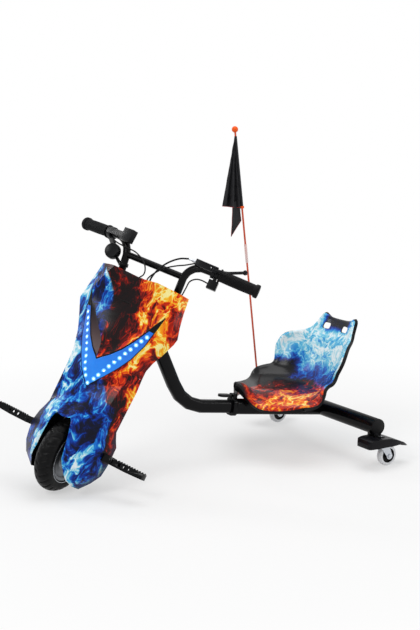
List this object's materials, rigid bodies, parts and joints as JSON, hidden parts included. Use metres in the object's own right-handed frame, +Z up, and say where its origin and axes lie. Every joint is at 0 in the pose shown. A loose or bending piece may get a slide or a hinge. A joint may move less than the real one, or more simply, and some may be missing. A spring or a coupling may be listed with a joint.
{
  "type": "electric drift trike",
  "caption": "Children's electric drift trike with a fairing round its steered front wheel, a bucket seat, swivelling rear casters, folding foot pegs and a flag on a pole.",
  "frame": {"origin": "on the ground, at the middle of the footprint", "axes": "+Z up, -Y towards the front of the trike, +X towards the rider's left"},
  "size_m": [0.638, 1.1099, 1.0017],
  "materials": {
    "black_steel": "gloss black powder coat",
    "black_plastic": "satin moulded black",
    "fire_shell": "gloss shell printed with flames",
    "ice_shell": "gloss shell printed with ice",
    "lamp_blue": "clear blue lens over a row of lights",
    "grip_rubber": "soft ribbed",
    "front_tread": "grooved road tyre",
    "caster_tread": "milky polyurethane",
    "zinc": "bright zinc plate",
    "cast_alloy": "satin cast",
    "pack_wrap": "shrink wrap",
    "pole_red": "painted glass fibre",
    "red_plastic": "moulded red",
    "clear_sleeve": "translucent sleeve",
    "flag_cloth": "thin woven polyester"
  },
  "bodies": {
    "chassis": {"rear_sleeve": "black_steel", "clamp_collar": "black_steel", "cross_beam": "black_steel", "beam_cap_left": "black_plastic", "beam_cap_right": "black_plastic", "fender_left": "black_plastic", "fender_right": "black_plastic", "seat_shell": "ice_shell", "seat_bracket_front": "black_steel", "seat_bracket_rear": "black_steel", "flag_socket": "black_steel", "pole_lower": "pole_red", "pole_upper": "pole_red", "pole_ferrule": "clear_sleeve", "pole_ball": "pole_red", "flag": "flag_cloth"},
    "clamp_arm": {"clamp_lever": "black_plastic"},
    "front_frame": {"main_tube": "black_steel", "head_tube": "black_steel", "bearing_cup_upper": "zinc", "bearing_cup_lower": "zinc"},
    "steering": {"fork": "black_steel", "wheel_axle": "zinc", "top_nut": "zinc", "brake_plate": "cast_alloy", "front_shell": "fire_shell", "rear_cover": "ice_shell", "lamp_tray": "black_plastic", "lamp_lens": "lamp_blue", "battery_pack": "pack_wrap", "controller": "cast_alloy", "handlebar": "black_steel", "grip_left": "grip_rubber", "grip_right": "grip_rubber", "brake_body": "black_plastic", "cable_adjuster": "zinc", "switch_box": "black_plastic", "throttle_housing": "black_plastic", "horn": "black_plastic", "brake_cable": "black_plastic", "brake_switch_lead": "black_plastic", "switch_lead": "black_plastic", "throttle_lead": "black_plastic", "peg_bracket_left": "black_steel", "peg_bracket_right": "black_steel"},
    "front_wheel": {"front_tyre": "front_tread", "hub_motor": "cast_alloy"},
    "brake_arm": {"brake_lever": "black_plastic"},
    "throttle_arm": {"thumb_lever": "black_plastic"},
    "speed_button": {"switch_button": "red_plastic"},
    "peg_left": {"foot_peg_left": "black_steel"},
    "peg_right": {"foot_peg_right": "black_steel"},
    "caster_left": {"caster_fork_left": "zinc"},
    "caster_right": {"caster_fork_right": "zinc"},
    "rear_wheel_left": {"rear_core_left": "black_plastic", "rear_tyre_left": "caster_tread"},
    "rear_wheel_right": {"rear_core_right": "black_plastic", "rear_tyre_right": "caster_tread"}
  },
  "joints": [
    {"name": "frame_length", "type": "slide", "parent": "chassis", "child": "front_frame", "axis": [0, -0.9895, 0.1444], "range_m": [-0.08, 0.06]},
    {"name": "clamp_open", "type": "hinge", "parent": "chassis", "child": "clamp_arm", "pos_m": [0, 0.11342, 0.20215], "axis": [-1, 0, 0], "range_deg": [0, 70]},
    {"name": "steer", "type": "hinge", "parent": "front_frame", "child": "steering", "pos_m": [0, -0.462, 0.10663], "axis": [0, 0.509, 0.8607], "range_deg": [-91.3, 28.7]},
    {"name": "front_wheel_spin", "type": "hinge", "parent": "steering", "child": "front_wheel", "pos_m": [-0.00987, -0.44294, 0.10697], "axis": [0.8545, 0.4472, -0.2645], "continuous": true},
    {"name": "brake_pull", "type": "hinge", "parent": "steering", "child": "brake_arm", "pos_m": [0.16231, -0.05662, 0.61777], "axis": [-0.0218, 0.4854, 0.874], "range_deg": [0, 12], "stiffness_Nm_per_rad": 1, "springref_deg": -8.59},
    {"name": "throttle_press", "type": "hinge", "parent": "steering", "child": "throttle_arm", "pos_m": [-0.14978, -0.20251, 0.69671], "axis": [-0.9798, -0.1516, 0.1301], "range_deg": [0, 30], "stiffness_Nm_per_rad": 0.3, "springref_deg": -17.19},
    {"name": "speed_press", "type": "slide", "parent": "steering", "child": "speed_button", "axis": [0.7799, -0.5388, 0.3186], "range_m": [0, 0.0025], "stiffness_N_per_m": 60, "springref_m": -0.004},
    {"name": "peg_fold_left", "type": "hinge", "parent": "steering", "child": "peg_left", "pos_m": [0.11885, -0.36054, 0.10634], "axis": [0.5195, -0.7355, 0.435], "range_deg": [0, 90]},
    {"name": "peg_fold_right", "type": "hinge", "parent": "steering", "child": "peg_right", "pos_m": [-0.13236, -0.49201, 0.18409], "axis": [-0.5195, 0.7355, -0.435], "range_deg": [0, 90]},
    {"name": "swivel_left", "type": "hinge", "parent": "chassis", "child": "caster_left", "pos_m": [0.284, 0.45, 0.088], "axis": [0, 0, 1], "continuous": true},
    {"name": "swivel_right", "type": "hinge", "parent": "chassis", "child": "caster_right", "pos_m": [-0.284, 0.45, 0.088], "axis": [0, 0, 1], "continuous": true},
    {"name": "rear_wheel_spin_left", "type": "hinge", "parent": "caster_left", "child": "rear_wheel_left", "pos_m": [0.284, 0.478, 0.032], "axis": [1, 0, 0], "continuous": true},
    {"name": "rear_wheel_spin_right", "type": "hinge", "parent": "caster_right", "child": "rear_wheel_right", "pos_m": [-0.284, 0.478, 0.032], "axis": [1, 0, 0], "continuous": true}
  ]
}
